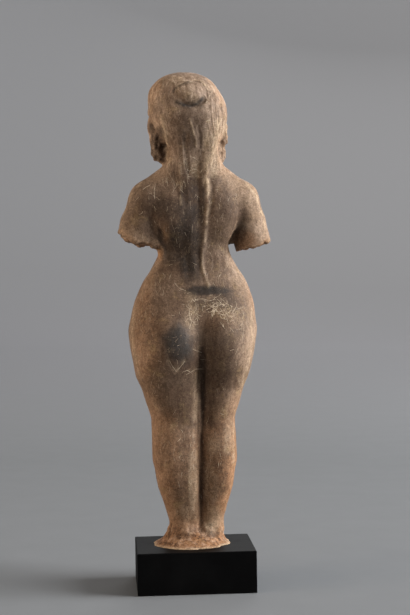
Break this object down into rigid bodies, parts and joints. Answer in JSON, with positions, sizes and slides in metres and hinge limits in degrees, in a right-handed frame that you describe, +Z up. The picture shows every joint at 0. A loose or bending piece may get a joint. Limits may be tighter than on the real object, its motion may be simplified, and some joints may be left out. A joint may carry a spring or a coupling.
{
  "type": "terracotta statuette",
  "caption": "Standing terracotta female statuette with broken arms, a hair bun and a tress down the back, fixed on a plain black rectangular block.",
  "frame": {"origin": "centre of the block's underside, on the surface it stands on", "axes": "+Z up; the figure faces -Y, turned 7 degrees on its block; +X is on the figure's left"},
  "size_m": [0.0803, 0.0519, 0.2716],
  "materials": {
    "terracotta": "bare fired clay, dull and porous, with a brown patina",
    "stand": "smooth black lacquer, satin"
  },
  "bodies": {
    "root": {"statuette": "terracotta", "stand": "stand"}
  },
  "joints": []
}
